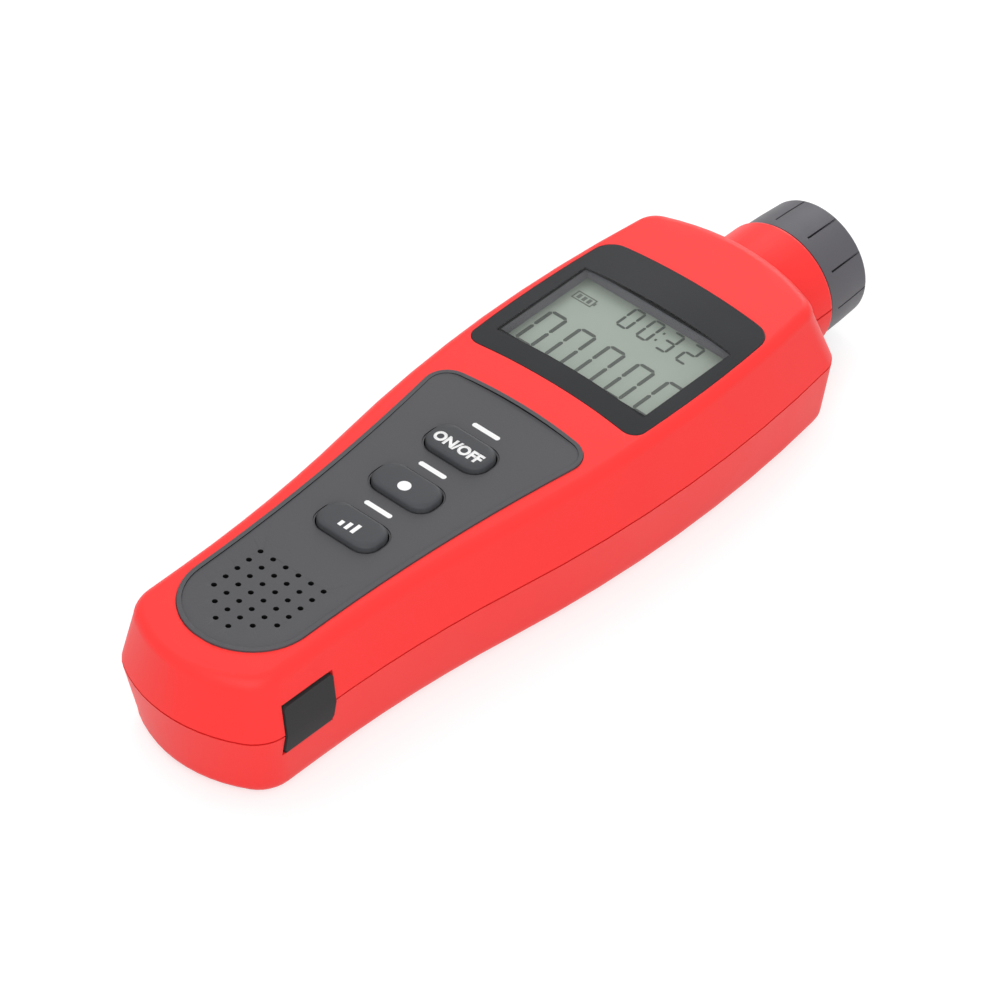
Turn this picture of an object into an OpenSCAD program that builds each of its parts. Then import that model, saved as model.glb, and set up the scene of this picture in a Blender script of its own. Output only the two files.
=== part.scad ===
// Hand-held laser tachometer lying on its back: a two-shell moulded case with a slim grip and a wide head,
// inlaid keypad panel, display under a window, lens hood on a round neck and battery bay in the back.
// Lengths are in millimetres. Y runs from the tail to the hood and Z up from the back; X = 0 is the middle.

/* [Case] */
// Length of the case at the parting line, tail to head
case_l = 166; // [156:0.5:180]
// Width of the grip at the parting line
grip_w = 37.2; // [36:0.2:40]
// Greatest width of the head at the parting line
head_w = 53.2; // [50:0.2:58]
// Distance of the widest place from the head end
head_back = 48; // [44:1:52]
// Distance from the tail to where the sides begin to widen
side_y = 20.35; // [16:0.05:28]
// Bow radius of the tail end
tail_r = 28.5; // [27:0.5:34]
// Corner radius of the tail end
tail_corner_r = 8.2; // [7.5:0.1:9]
// Bow radius of the head end
head_r = 56; // [50:1:70]
// Corner radius of the head end
head_corner_r = 5.9; // [5.4:0.1:7]
// Height of the front face at the display
case_h = 30.7; // [30:0.1:33]
// How much lower the front face is at the tail
tail_drop = 1.1; // [0.4:0.1:1.6]
// Height of the parting line above the back
seam_z = 16; // [15.8:0.1:16.6]
// Crown radius of the front face
crown_r = 540; // [450:10:800]
// Rounding of the front edge
front_edge_r = 2.7; // [2.2:0.1:3.2]
// Rounding of the back edge
back_edge_r = 3.7; // [3:0.1:4.2]
// Inward lean of the front walls as a share of the width
front_lean = 0.109; // [0.09:0.001:0.12]
// Inward lean of the back walls as a share of the width
back_lean = 0.06; // [0.04:0.01:0.08]
// How far the front edge is set in at the tail
front_tail_set = 1; // [0.6:0.1:2]
// How far the front edge is set in at the head
front_head_set = 4.4; // [3.5:0.1:5]
// How far the back edge is set in at the tail
back_tail_set = 3.3; // [2.5:0.1:4]
// Wall thickness of both shells
wall = 2; // [1.8:0.1:2.4]
// Open groove at the parting line
seam_gap = 0.36; // [0.2:0.02:0.4]
// Height of the locating lip above the parting line
lip_h = 1.5; // [1:0.1:2]
// Thickness of the locating lip
lip_t = 1; // [0.8:0.1:1.2]

/* [Neck and hood] */
// Height of the optical axis above the back
axis_z = 14.4; // [14:0.1:15]
// Outer radius of the neck collar
neck_r = 13.5; // [13.2:0.1:14]
// How far the collar stands out of the case
neck_l = 6.6; // [6:0.1:9]
// Rounding of the collar's front edge
neck_edge_r = 1; // [0.6:0.1:1.2]
// Length of the hood in front of the collar
hood_l = 11.4; // [10.5:0.1:15]
// Radius of the hood beside the collar
hood_back_r = 13; // [12.6:0.1:13.4]
// Radius of the hood at its front rim
hood_rim_r = 12.5; // [12.2:0.1:12.8]
// Rounding of the hood's front rim
hood_edge_r = 0.7; // [0.4:0.1:0.9]
// Radius of the hood's spigot inside the collar
spigot_r = 10.9; // [10.7:0.1:11.2]
// Number of grip notches round the rim
notch_count = 10; // [6:1:16]
// Length of a grip notch
notch_l = 4.6; // [3:0.1:5.5]
// Width of a grip notch
notch_w = 0.4; // [0.3:0.05:0.8]
// Depth of a grip notch at the rim
notch_depth = 0.25; // [0.2:0.05:0.7]
// Radius of the front lens
lens_r = 10.1; // [9.9:0.1:10.3]
// Radius of curvature of the front lens
lens_curve_r = 25; // [22:1:40]

/* [Keypad] */
// Distance from the tail to the keypad panel
panel_y = 8; // [7.8:0.1:9]
// Width of the red bridge between the panel and the display window
panel_gap = 8.8; // [7:0.1:12]
// Width of the case beside the panel at its round tail end
panel_tail_margin = 5.4; // [5:0.1:6]
// Width of the case beside the panel at its head end
panel_head_margin = 7.4; // [6:0.1:8]
// Corner radius at the panel's head end
panel_corner_r = 5; // [4:0.1:6]
// Bow radius of the panel's head edge
panel_bow_r = 110; // [90:5:160]
// Thickness of the keypad panel
panel_t = 2.2; // [2:0.1:2.4]
// How far the panel's rim stands proud of the case
panel_proud = 0.35; // [0.2:0.05:0.5]
// Width of the raised rim of the panel
rim_w = 0.9; // [0.7:0.1:1.2]
// Depth of the panel's floor below its rim
rim_step = 0.4; // [0.3:0.05:0.7]
// Width of a key
key_w = 14; // [13:0.1:15]
// Length of a key along the case
key_l = 7.8; // [7.4:0.1:9]
// Corner radius of a key
key_r = 3.2; // [2.8:0.1:3.7]
// Place of the key nearest the head, as a share of the panel's length from its head edge
key_head_share = 0.198; // [0.19:0.001:0.23]
// Distance between two keys, as a share of the panel's length
key_pitch_share = 0.1703; // [0.16:0.0001:0.175]
// Width of the shallow recess round each key
recess_w = 0.6; // [0.5:0.1:1.4]
// Depth of the shallow recess round each key
recess_depth = 0.2; // [0.1:0.05:0.3]
// Height of a key above the panel's floor
key_rise = 1.2; // [0.9:0.05:1.4]
// Travel of a key
key_travel = 0.8; // [0.5:0.05:1]
// Diameter of a sound hole
sound_d = 1.05; // [0.9:0.05:1.6]
// Distance between two sound holes, as a share of the panel's length
sound_pitch_share = 0.03517; // [0.033:0.0001:0.036]
// Place of the head-side row of sound holes, as a share of the panel's length from its tail
sound_share = 0.2775; // [0.27:0.001:0.285]

/* [Display] */
// Distance from the head end of the case to the window
window_set = 21; // [19:0.1:24]
// Length of the display window
window_l = 41; // [40:0.1:42]
// Width of the case beside the display window
window_margin = 5.4; // [5:0.1:6.4]
// Bow radius of the window's head and tail edges
window_bow_r = 155; // [140:5:200]
// Corner radius of the window at the head
window_head_r = 4.6; // [3.5:0.1:5.5]
// Corner radius of the window at the tail
window_tail_r = 2.8; // [2.2:0.1:3.5]
// Thickness of the window in the middle
window_t = 1.2; // [1.1:0.05:1.3]
// Thickness of the dark border gasket under the window
gasket_t = 0.3; // [0.2:0.05:0.4]
// Width of the dark border beside the clear opening
border_w = 3.2; // [2.8:0.1:4]
// Length of the clear opening
view_l = 25.4; // [25:0.1:26]
// Distance from the window's head edge to the tail edge of the clear opening
view_set = 35.4; // [34.8:0.1:36]
// Depth of the well between the gasket and the glass
well_depth = 1.8; // [1.5:0.1:2.2]
// Thickness of the liquid-crystal glass
lcd_t = 2.8; // [2.2:0.1:3]

/* [Side cover] */
// Width of the side cover along the case
cover_w = 12.8; // [12:0.1:13.4]
// Height of the side cover
cover_h = 10.3; // [9.8:0.1:11]
// Distance from the tail to the middle of the cover
cover_y = 17.5; // [17:0.1:18.5]
// Height of the cover's hinge bead above the back
cover_z = 11.8; // [11.6:0.1:12.4]
// How far the cover stands proud of the wall
cover_proud = 0.4; // [0.2:0.05:0.6]
// Radius of the bead the cover turns on
bead_r = 0.7; // [0.6:0.05:0.8]

/* [Power] */
// Diameter of a cell
cell_d = 10.5; // [10.4:0.1:10.6]
// Length of a cell with its button
cell_l = 44.5; // [44:0.1:44.6]
// Distance between two cells
cell_pitch = 10.9; // [10.8:0.1:11.1]
// Length of the battery bay
bay_l = 51; // [50.6:0.1:51.6]
// Distance from the head end of the case to the battery bay's tail wall
bay_set = 69; // [68:0.1:71]
// Thickness of the battery door
door_t = 1.8; // [1.6:0.1:1.9]
// How far the door lies inside the back face
door_sink = 0.3; // [0.2:0.05:0.4]
// Width of the ledge that the door lies on
door_ledge = 1; // [0.8:0.1:1]

/* [Board and screws] */
// Height of the main board's lower face above the back
board_z = 14.2; // [14.1:0.05:14.3]
// Thickness of the circuit boards
board_t = 1.6; // [1.2:0.1:1.6]
// Radius of a case screw
screw_r = 1.15; // [1:0.05:1.3]
// Radius of a case screw's head
screw_head_r = 2.3; // [2.1:0.1:2.5]
// Radius of a board screw
board_screw_r = 0.9; // [0.8:0.05:1]
// Running clearance of moving pieces
clear = 0.25; // [0.2:0.01:0.3]
// Fitting clearance of fixed pieces
fit = 0.1; // [0.08:0.01:0.15]

/* [Hidden] */
$fn = 96;
red = "#f24040";
dark = "#4b4b4e";
grey = "#626368";
steel = "#b9bcc0";
green = "#2f6b45";
black = "#1d1d1f";

// Half-widths and the length left over from the driving sizes
grip_half = grip_w / 2;
head_half = head_w / 2;
head_y = case_l - head_back;
side_r = (pow(head_y - side_y, 2) + pow(head_half - grip_half, 2)) / (4 * (head_half - grip_half));
neck_end = case_l + neck_l;
total_l = neck_end + hood_l;
window_y = case_l - window_set;
window_half_w = head_half - window_margin;
view_half_w = window_half_w - border_w;
view_y = window_y - view_set;
bay_y = case_l - bay_set;
panel_l = window_y - window_l - panel_gap - panel_y;
panel_tail_r = grip_half - panel_tail_margin;
panel_side_r = pow(panel_l - panel_tail_r, 2) / (2 * (head_half - panel_head_margin - panel_tail_r));
key_pitch = panel_l * key_pitch_share;
key_y = panel_y + panel_l * (1 - key_head_share) - 2 * key_pitch;
sound_pitch = panel_l * sound_pitch_share;
sound_y = panel_y + panel_l * sound_share;
board_top = board_z + board_t;
slope = tail_drop / view_y;
tilt = atan(slope);

// Angle of a point seen from a centre, and where two circles meet on the left of the line between them
function angle_of(c, p) = atan2(p.y - c.y, p.x - c.x);
function meet(p, rp, q, rq) =
    let (d = q - p, span = norm(d), a = (rp * rp - rq * rq + span * span) / (2 * span))
    let (h = sqrt(rp * rp - a * a), e = d / span)
    p + a * e + h * [-e.y, e.x];
// Points of an arc in n steps, leaving out the first skip of them
function arc(c, r, a0, a1, n, skip = 0) =
    [for (k = [skip : n]) c + r * [cos(a0 + (a1 - a0) * k / n), sin(a0 + (a1 - a0) * k / n)]];
function mirrored(half) = concat(half, [for (k = [len(half) - 1 : -1 : 0]) [-half[k].x, half[k].y]]);

// Centres of the arcs that make one side of the case at the parting line
tail_c = [0, tail_r];
corner_c = [grip_half - tail_corner_r,
    tail_r - sqrt(pow(tail_r - tail_corner_r, 2) - pow(grip_half - tail_corner_r, 2))];
side_c = [head_half - side_r, head_y];
hollow_c = [grip_half + side_r, side_y];
head_c = [0, case_l - head_r];
shoulder_c = meet(side_c, side_r - head_corner_r, head_c, head_r - head_corner_r);
end_steps = 5;
end_half_step = 0.5 / (end_steps + 0.5);

// One side of the case outline from tail to head, drawn in by an inset
function case_half(inset) =
    let (bow0 = angle_of(tail_c, corner_c), bow1 = angle_of(head_c, shoulder_c))
    concat(
        arc(tail_c, tail_r - inset, -90 + (bow0 + 90) * end_half_step, bow0, end_steps),
        arc(corner_c, tail_corner_r - inset, bow0, 0, 6, 1),
        arc(hollow_c, side_r + inset, 180, angle_of(hollow_c, side_c), 6),
        arc(side_c, side_r - inset, angle_of(hollow_c, side_c) - 180, angle_of(side_c, shoulder_c), 8, 1),
        arc(shoulder_c, head_corner_r - inset, angle_of(side_c, shoulder_c), bow1, 6, 1),
        arc(head_c, head_r - inset, bow1, 90 - (90 - bow1) * end_half_step, end_steps, 1));
function case_outline(inset) = mirrored(case_half(inset));

// Height of the crowned front face
function front_z(x, y) = case_h - tail_drop * max(0, 1 - y / view_y) - x * x / (2 * crown_r);

// One ring of a shell: the outline drawn in, leaned in and set in, with the points across both ends
function ring(inset, lean, tail_set, head_set) =
    let (half = [for (p = case_half(inset))
        [p.x * (1 - lean), tail_set + p.y * (case_l - tail_set - head_set) / case_l]])
    let (first = half[0], last = half[len(half) - 1])
    concat(half,
        [for (s = [0.5, 0, -0.5]) [last.x * s, last.y]],
        [for (k = [len(half) - 1 : -1 : 0]) [-half[k].x, half[k].y]],
        [for (s = [-0.5, 0, 0.5]) [first.x * s, first.y]]);
function flat_ring(points, z) = [for (p = points) [p.x, p.y, z]];
function crowned_ring(points, drop) = [for (p = points) [p.x, p.y, front_z(p.x, p.y) - drop]];

// Faces over a flat ring of n points, seen the right way round from below
function flat_cap(n) =
    let (m = (n - 6) / 2)
    concat(
        [for (k = [0 : 4]) [1, 2 * m + 1 + k, (2 * m + 2 + k) % n]],
        [for (i = [1 : m - 3]) each [[i, i + 1, 2 * m + 1 - i], [i, 2 * m + 1 - i, 2 * m + 2 - i]]],
        [for (k = [0 : 4]) [m - 2, m - 1 + k, m + k]]);

// Skin over stacked rings: flat at the bottom, and at the top flat or crowned over a grid of rows
module loft(rings, crown_drop = undef) {
    n = len(rings[0]);
    m = (n - 6) / 2;
    base = n * (len(rings) - 1);
    last = rings[len(rings) - 1];
    crowned = !is_undef(crown_drop);
    inner = crowned ? [for (i = [1 : m - 2], s = [0.5, 0, -0.5])
        let (x = last[i].x * s, y = last[i].y) [x, y, front_z(x, y) - crown_drop]] : [];
    function at(i, c) =
        c == 0 ? base + i :
        c == 4 ? base + 2 * m + 2 - i :
        i == m - 1 ? base + m + c - 1 :
        i == 0 ? base + 2 * m + 6 - c :
        base + n + (i - 1) * 3 + c - 1;
    sides = [for (j = [0 : len(rings) - 2], i = [0 : n - 1])
        let (a = j * n + i, b = j * n + (i + 1) % n) each [[a, a + n, b + n], [a, b + n, b]]];
    top = crowned ? [for (i = [0 : m - 2], c = [0 : 3])
        each [[at(i, c), at(i, c + 1), at(i + 1, c + 1)], [at(i, c), at(i + 1, c + 1), at(i + 1, c)]]] :
        [for (f = flat_cap(n)) [base + f[0], base + f[2], base + f[1]]];
    polyhedron(
        points = concat([for (r = rings) each r], inner),
        faces = concat(flat_cap(n), sides, top));
}

// Solid front half of the case drawn in by a depth: straight leaning walls, then a rounded edge to the crown
module front_form(depth, z0, edge_r, steps) {
    loft(concat(
        [flat_ring(ring(depth, 0, 0, 0), z0)],
        [for (k = [0 : steps])
            let (a = 90 * k / steps)
            crowned_ring(ring(depth + edge_r * (1 - cos(a)), front_lean, front_tail_set, front_head_set),
                depth + edge_r * (1 - sin(a)))]),
        depth);
}

// Solid back half of the case drawn in by a depth: a rounded edge, then leaning walls up to a height
module back_form(depth, z1, edge_r, steps) {
    loft(concat(
        [for (k = [steps : -1 : 0])
            let (a = 90 * k / steps)
            flat_ring(ring(depth + edge_r * (1 - cos(a)), back_lean, back_tail_set, 0),
                depth + edge_r * (1 - sin(a)))],
        [flat_ring(ring(depth, 0, 0, 0), z1)]));
}

// Children turned so that their Z axis is the optical axis, starting at a distance from the tail
module along_axis(y, x = 0, z = 0) {
    translate([x, y, axis_z + z]) rotate([-90, 0, 0]) children();
}

// Children laid in the keypad's own plane, whose origin is the front face above the tail end
module on_keypad() {
    translate([0, 0, case_h - tail_drop]) rotate([tilt, 0, 0]) children();
}

// A right block given by its lowest corner and its size
module block(corner, size) {
    translate(corner) cube(size);
}

// A flat rounded rectangle about the origin
module rounded(w, l, r) {
    square([w - 2 * r, l], center = true);
    square([w, l - 2 * r], center = true);
    for (sx = [-1, 1], sy = [-1, 1])
        translate([sx * (w / 2 - r), sy * (l / 2 - r)]) circle(r);
}

// The body under the crowned face of the keypad and of the window
module crowned_body(length) {
    reach = 30;
    steps = 12;
    translate([0, length, 0])
        rotate([90, 0, 0])
            linear_extrude(length)
                polygon(concat(
                    [for (k = [-steps : steps]) let (x = reach * k / steps) [x, -x * x / (2 * crown_r)]],
                    [[reach, -reach], [-reach, -reach]]));
}

// Keypad panel outline grown by a distance, from its tail to its bowed head edge
panel_c = [0, panel_y + panel_tail_r];
panel_side_c = [panel_tail_r + panel_side_r, panel_c.y];
panel_bow_c = [0, panel_y + panel_l - panel_bow_r];
panel_corner_c = meet(panel_bow_c, panel_bow_r - panel_corner_r, panel_side_c, panel_side_r + panel_corner_r);
function panel_outline(grow) =
    let (side1 = angle_of(panel_side_c, panel_corner_c), bow = angle_of(panel_bow_c, panel_corner_c))
    mirrored(concat(
        arc(panel_c, panel_tail_r + grow, -90, 0, 14, 1),
        arc(panel_side_c, panel_side_r - grow, 180, side1, 10, 1),
        arc(panel_corner_c, panel_corner_r + grow, side1 - 180, bow, 8, 1),
        arc(panel_bow_c, panel_bow_r + grow, bow, 90, 4, 1)));

// Display window outline grown by a distance, its sides running along the case sides
window_side_r = side_r - head_half + window_half_w;
window_head_c = [0, window_y - window_bow_r];
window_tail_c = [0, window_y - window_l - window_bow_r];
window_high_c = meet(side_c, window_side_r - window_head_r, window_head_c, window_bow_r - window_head_r);
window_low_c = meet(side_c, window_side_r - window_tail_r, window_tail_c, window_bow_r + window_tail_r);
function window_outline(grow) =
    let (low = angle_of(window_tail_c, window_low_c), high = angle_of(window_head_c, window_high_c))
    let (side0 = angle_of(side_c, window_low_c), side1 = angle_of(side_c, window_high_c))
    mirrored(concat(
        arc(window_tail_c, window_bow_r - grow, 90, low, 5, 1),
        arc(window_low_c, window_tail_r + grow, low - 180, side0, 8, 1),
        arc(side_c, window_side_r + grow, side0, side1, 6, 1),
        arc(window_high_c, window_head_r + grow, side1, high, 8, 1),
        arc(window_head_c, window_bow_r + grow, high, 90, 5, 1)));

// Levels of the display stack below the front face
seat_z = case_h - window_t - gasket_t;
gasket_z = seat_z + fit;
frame_top = seat_z;
lcd_top = frame_top - well_depth;
lcd_z = lcd_top - lcd_t;

// The display frame stands on the board round the glass and reaches into the case opening
lcd_margin = 2.6;
frame_wall = 1.2;
lcd_w = 2 * view_half_w + 2 * lcd_margin - 2;
lcd_l = view_l + 2 * lcd_margin;
lcd_y = view_y - lcd_margin;
frame_w = lcd_w + 2 * fit + 2 * frame_wall;
frame_l = lcd_l + 2 * fit + 2 * frame_wall;
frame_y = lcd_y - fit - frame_wall;
collar_wall = 0.9;
strip_t = 2;
shoulder_t = 0.6;

// Places that the screws share
boss_wall = 1.9;
tail_screw_y = panel_y + 3.2;
head_screw_margin = 9.1;
head_screw_back = 13;
head_screw_x = head_half - head_screw_margin;
head_screw_y = case_l - head_screw_back;
case_screw_at = [[0, tail_screw_y], [-head_screw_x, head_screw_y], [head_screw_x, head_screw_y]];
buzzer_r = 10.2;
buzzer_t = 4;
buzzer_wall = 1.2;
buzzer_y = tail_screw_y + screw_r + boss_wall + buzzer_r + 1;
chip_y = window_y - window_l - 12;
board_boss_r = board_screw_r + boss_wall - 0.2;
tail_fix = [grip_half - 5.1, buzzer_y + buzzer_r + fit + buzzer_wall + board_boss_r];
head_fix = [head_half - 7.1, chip_y];
board_screw_at = [[-tail_fix.x, tail_fix.y], tail_fix, [-head_fix.x, head_fix.y], head_fix];
screw_seat_z = 10;
screw_l = 12;
screw_head_h = 1.8;
board_screw_l = 6;
board_head_h = 1.1;
boss_top = case_h - tail_drop - wall - 0.4;

// Keys, their flange below the panel and the switches under them
flange_w = 1.2;
flange_t = 0.85;
floor_t = 1.5;
switch_h = 5;
stem_r = 2;
panel_floor = panel_proud - rim_step;
key_top = panel_floor + key_rise;
key_names = ["mode", "record", "power"];
function key_place(i) = key_y + i * key_pitch;
floor_under = panel_t + fit + floor_t;

// Battery bay and its door
cell_z = door_sink + door_t + fit + 0.2 + cell_d / 2;
bay_w = 2 * cell_pitch + cell_d + 0.6;
bay_wall = 1.2;
bay_roof = cell_z + cell_d / 2 + 0.2;
bay_roof_t = 1;
door_y = bay_y - door_ledge;
door_w = bay_w + 2 * door_ledge;
door_l = bay_l + 2 * door_ledge;
tab_w = 8;
tab_t = 1;
riser_t = 0.7;
tab_reach = 2.4;
tab_x = 9;
slot_top = door_sink + door_t + 4.6;
latch_w = 12;
plate_t = 0.4;

// Seat of the side cover in the wall
seat_depth = 1.3;
nail_gap = 0.5;
slot_w = 10.4;

// Optics on the axis inside the neck
spigot_y = case_l - 6;
spigot_bore_r = spigot_r - 1.5;
flange_y = case_l + 1;
flange_ring_t = 1.6;
flange_ring_r = 12.2;
lens_y = neck_end + 3;
lens_edge_t = 1.8;
holder_y = spigot_y - 2;
holder_l = 9.4;
laser_r = 3;
laser_l = 12.4;
laser_up = 4.7;
sensor_r = 2.5;
sensor_down = 4;
sensor_back = 14;
sensor_y = case_l - sensor_back;
sensor_board_w = 22;
sensor_board_h = 20;
sensor_board_drop = 9.5;

// Half of the neck collar, above or below the parting line
module collar() {
    root_y = head_c.y + head_r / 2;
    reach = neck_end - root_y;
    along_axis(root_y)
        rotate_extrude()
            polygon(concat(
                [[0, 0], [neck_r, 0]],
                arc([neck_r - neck_edge_r, reach - neck_edge_r], neck_edge_r, 0, 90, 6),
                [[0, reach]]));
}

// Bore of the neck with the groove that traps the hood's flange
module neck_bore() {
    along_axis(sensor_y + 3) cylinder(r = spigot_r + fit, h = neck_end);
    along_axis(flange_y - fit) cylinder(r = flange_ring_r + fit, h = flange_ring_t + 2 * fit);
}

// Where the side wall stands at a height, beside the cover
function wall_x(z) = z > seam_z
    ? grip_half * (1 - front_lean * (z - seam_z) / (front_z(grip_half, cover_y) - front_edge_r - seam_z))
    : grip_half * (1 - back_lean * (seam_z - z) / (seam_z - back_edge_r));

// A strip that follows the wall between two heights, reaching into it and out of it
module wall_strip(z0, z1, in, out, w) {
    levels = [z0, seam_z, z1];
    translate([0, cover_y + w / 2, 0])
        rotate([90, 0, 0])
            linear_extrude(w)
                polygon(concat(
                    [for (k = [0 : 2]) [wall_x(levels[k]) + out, levels[k]]],
                    [for (k = [2 : -1 : 0]) [wall_x(levels[k]) - in, levels[k]]]));
}

// Opening in the side wall: shallow seat for the cover with a nail gap above it, and a slot for its plug
module cover_seat() {
    wall_strip(cover_z - bead_r - clear, cover_z + cover_h + nail_gap, seat_depth, 3, cover_w + 2 * clear);
    block([grip_half - 2 * wall, cover_y - slot_w / 2, seam_z - 1.6], [3 * wall, slot_w, 6.4]);
}

module front_case() {
    color(red)
    difference() {
        union() {
            difference() {
                union() {
                    front_form(0, seam_z + seam_gap / 2, front_edge_r, 5);
                    difference() {
                        collar();
                        block([-head_w, 0, -case_h],
                            [2 * head_w, 2 * total_l, case_h + seam_z + seam_gap / 2]);
                    }
                }
                front_form(wall, seam_z - 1, front_edge_r - 1, 3);
            }
            on_keypad()
                translate([0, 0, -floor_under])
                    linear_extrude(floor_under - 1) polygon(panel_outline(1.4));
            translate([0, 0, lcd_top + shoulder_t])
                linear_extrude(seat_z - lcd_top - shoulder_t + 0.3) polygon(window_outline(1));
            for (p = case_screw_at)
                block_boss(p, seam_z + seam_gap / 2, boss_top, screw_r + boss_wall);
            for (p = board_screw_at)
                block_boss(p, board_top, boss_top, board_boss_r);
            on_keypad()
                translate([0, buzzer_y, -floor_under - buzzer_t + 1])
                    difference() {
                        cylinder(r = buzzer_r + fit + buzzer_wall, h = buzzer_t);
                        translate([0, 0, -1]) cylinder(r = buzzer_r + fit, h = buzzer_t + 2);
                    }
        }
        neck_bore();
        cover_seat();
        on_keypad() {
            translate([0, 0, -panel_t - fit]) linear_extrude(panel_t + 4) polygon(panel_outline(fit));
            for (i = [0 : 2])
                translate([0, key_place(i), -floor_under - 1])
                    linear_extrude(floor_t + 2)
                        rounded(key_w + 2 * flange_w + 2 * clear, key_l + 2 * flange_w + 2 * clear,
                            key_r + flange_w);
            translate([0, buzzer_y, -floor_under - 1]) cylinder(r = buzzer_r - 1.6, h = floor_t + 2);
        }
        translate([0, 0, seat_z]) linear_extrude(6) polygon(window_outline(fit));
        block([-view_half_w - collar_wall - fit, view_y - collar_wall - fit, lcd_top - 2],
            [2 * (view_half_w + collar_wall + fit), view_l + 2 * (collar_wall + fit), 8]);
        for (p = case_screw_at)
            translate([p.x, p.y, seam_z - 1]) cylinder(r = screw_r, h = screw_seat_z + screw_l - seam_z + 2);
        for (p = board_screw_at)
            translate([p.x, p.y, board_z]) cylinder(r = board_screw_r, h = board_screw_l + 1);
        translate([0, 0, seam_z - 1])
            linear_extrude(1 + lip_h + fit) polygon(case_outline(wall - lip_t - fit));
    }
}

// A round boss between two heights
module block_boss(p, z0, z1, r) {
    translate([p.x, p.y, z0]) cylinder(r = r, h = z1 - z0);
}

module rear_case() {
    color(red)
    difference() {
        union() {
            difference() {
                union() {
                    back_form(0, seam_z - seam_gap / 2, back_edge_r, 5);
                    translate([0, 0, seam_z - lip_h])
                        linear_extrude(2 * lip_h) polygon(case_outline(wall - lip_t));
                    difference() {
                        collar();
                        block([-head_w, 0, seam_z - seam_gap / 2], [2 * head_w, 2 * total_l, case_h]);
                    }
                }
                back_form(wall, seam_z + 2 * lip_h, back_edge_r - 1, 3);
            }
            block([-bay_w / 2 - bay_wall, bay_y - bay_wall, wall / 2],
                [bay_w + 2 * bay_wall, bay_l + 2 * bay_wall, bay_roof + bay_roof_t - wall / 2]);
            for (p = case_screw_at)
                block_boss(p, wall / 2, seam_z - seam_gap / 2, screw_head_r + boss_wall - 0.8);
        }
        neck_bore();
        cover_seat();
        block([-bay_w / 2, bay_y, -1], [bay_w, bay_l, bay_roof + 1]);
        block([-door_w / 2, door_y, -1], [door_w, door_l, 1 + door_sink + door_t + fit]);
        for (s = [-1, 1])
            block([s * tab_x - tab_w / 2 - clear, door_y - tab_reach - 2, wall],
                [tab_w + 2 * clear, tab_reach + 2 + door_ledge + 1, slot_top - wall]);
        block([-latch_w / 2 - clear, bay_y + bay_l - 1, 1], [latch_w + 2 * clear, bay_wall + 2.6, 6]);
        for (p = case_screw_at) {
            translate([p.x, p.y, -1]) cylinder(r = screw_head_r + fit, h = screw_seat_z + 1);
            translate([p.x, p.y, 0]) cylinder(r = screw_r + fit, h = seam_z + 4);
        }
    }
}

module keypad_panel() {
    color(grey)
    on_keypad()
    difference() {
        intersection() {
            translate([0, 0, -panel_t]) linear_extrude(panel_t + 1) polygon(panel_outline(0));
            translate([0, 0, panel_proud]) crowned_body(panel_y + panel_l + 10);
        }
        translate([0, 0, panel_floor])
            intersection() {
                linear_extrude(3) polygon(panel_outline(-rim_w));
                translate([0, 0, 3]) crowned_body(panel_y + panel_l + 10);
            }
        for (i = [0 : 2]) {
            translate([0, key_place(i), -panel_t - 1])
                linear_extrude(panel_t + 3) rounded(key_w + 2 * clear, key_l + 2 * clear, key_r + clear);
            translate([0, key_place(i), panel_floor - recess_depth])
                linear_extrude(3) rounded(key_w + 2 * recess_w, key_l + 2 * recess_w, key_r + recess_w);
        }
        sound_rows = [5, 6, 7, 7, 6, 5];
        for (i = [0 : 5], j = [0 : sound_rows[i] - 1])
            translate([(i - 2.5) * sound_pitch, sound_y - j * sound_pitch, -panel_t - 1])
                cylinder(d = sound_d, h = panel_t + 3, $fn = 24);
    }
}

// A key: domed cap through the panel, retaining flange below it and a stem down to its switch
module key(i) {
    stem_bottom = board_top + switch_h + key_travel + fit;
    stem_top = case_h - tail_drop + slope * key_place(i) - panel_t - clear - flange_t / 2;
    color(grey) {
        on_keypad() {
            translate([0, key_place(i), 0])
                hull() {
                    translate([0, 0, -panel_t]) linear_extrude(0.1) rounded(key_w, key_l, key_r, $fn = 32);
                    translate([0, 0, key_top - 0.7])
                        linear_extrude(0.1) rounded(key_w, key_l, key_r, $fn = 32);
                    translate([0, 0, key_top - 0.3])
                        linear_extrude(0.1) rounded(key_w - 0.6, key_l - 0.6, key_r - 0.3, $fn = 32);
                    translate([0, 0, key_top - 0.1])
                        linear_extrude(0.1) rounded(key_w - 1.8, key_l - 1.8, key_r - 0.9, $fn = 32);
                }
            translate([0, key_place(i), -panel_t - clear - flange_t])
                linear_extrude(flange_t)
                    rounded(key_w + 2 * flange_w, key_l + 2 * flange_w, key_r + flange_w);
            translate([0, key_place(i), -panel_t - clear - flange_t / 2])
                linear_extrude(clear + flange_t / 2 + 0.05) rounded(key_w - 1, key_l - 1, key_r - 0.5);
        }
        translate([0, key_place(i), stem_bottom]) cylinder(r = stem_r, h = stem_top - stem_bottom);
    }
}

// A push switch on the board: square body, four feet and a round plunger
module push_switch(i) {
    body = 6;
    body_h = 3.5;
    color(black)
    translate([0, key_place(i), board_top]) {
        translate([-body / 2, -body / 2, 0]) cube([body, body, body_h]);
        cylinder(r = 1.75, h = switch_h);
        for (sx = [-1, 1], sy = [-1, 1])
            translate([sx * (body / 2 + 0.4) - 0.5, sy * 2.2 - 0.35, 0]) cube([1, 0.7, 0.5]);
    }
}

module display_window() {
    color("#c8d4d8", 0.4)
    intersection() {
        translate([0, 0, gasket_z + gasket_t]) linear_extrude(window_t + 1) polygon(window_outline(0));
        translate([0, 0, case_h]) crowned_body(window_y + 10);
    }
}

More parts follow.
